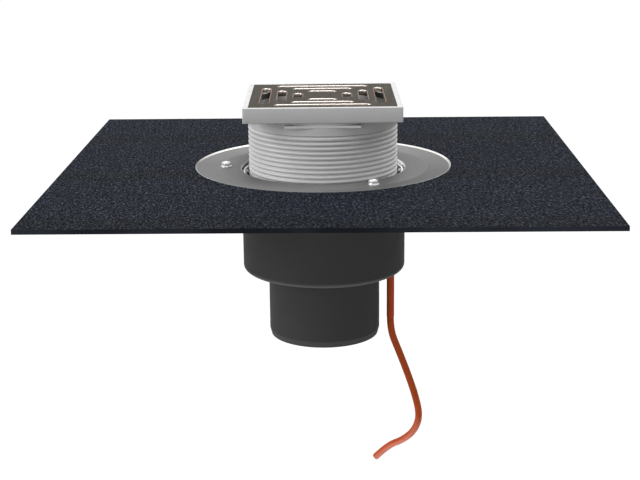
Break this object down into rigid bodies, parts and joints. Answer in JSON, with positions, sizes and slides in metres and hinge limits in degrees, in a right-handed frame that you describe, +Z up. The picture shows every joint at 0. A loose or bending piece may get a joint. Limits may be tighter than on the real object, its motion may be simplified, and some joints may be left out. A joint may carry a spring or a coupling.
{
  "type": "flat roof drain",
  "caption": "Heated flat roof drain with a square waterproofing collar, clamping flange and a telescopic extension tube that carries a square slotted grate.",
  "frame": {"origin": "on the drain's vertical axis, at the level of the collar sheet's underside, where it lies on the roof deck", "axes": "+Z up out of the roof along the drain's axis, +X towards the side where the heater's lead hangs, -Y towards the picture's camera"},
  "size_m": [0.5, 0.5, 0.3974],
  "materials": {
    "body_plastic": "moulded, faint satin",
    "cover_plastic": "moulded, matt",
    "bitumen": "matt bitumen felt with fine mineral grain",
    "flange_steel": "stainless, finely brushed",
    "grate_steel": "stainless, dark reflection, polished slot edges",
    "fastener_steel": "bright stainless",
    "holder_plastic": "light grey, satin",
    "extension_plastic": "light grey moulded plastic, satin",
    "frame_plastic": "light grey moulded plastic, satin",
    "seal_rubber": "matt black",
    "heater_pad": "silicone pad, matt",
    "lead_sleeve": "silicone sleeve, satin",
    "lead_sheath": "silicone sheath, satin"
  },
  "bodies": {
    "drain": {"drain_body": "body_plastic", "bitumen_collar": "bitumen", "clamping_flange": "flange_steel", "seal_holder": "holder_plastic", "lip_seal": "seal_rubber", "heating_element": "heater_pad", "heater_cover": "cover_plastic", "cable_sleeve": "lead_sleeve", "heating_cable": "lead_sheath", "clamp_bolt_1": "fastener_steel", "clamp_washer_1": "fastener_steel", "clamp_nut_1": "fastener_steel", "clamp_bolt_2": "fastener_steel", "clamp_washer_2": "fastener_steel", "clamp_nut_2": "fastener_steel", "clamp_bolt_3": "fastener_steel", "clamp_washer_3": "fastener_steel", "clamp_nut_3": "fastener_steel"},
    "extension": {"extension_tube": "extension_plastic"},
    "frame": {"grate_frame": "frame_plastic", "grate": "grate_steel"}
  },
  "joints": [
    {"name": "height_slide", "type": "slide", "parent": "drain", "child": "extension", "axis": [0, 0, 1], "range_m": [-0.035, 0.02]},
    {"name": "frame_swivel", "type": "hinge", "parent": "extension", "child": "frame", "pos_m": [0, 0, 0.05], "axis": [0, 0, 1], "continuous": true}
  ]
}
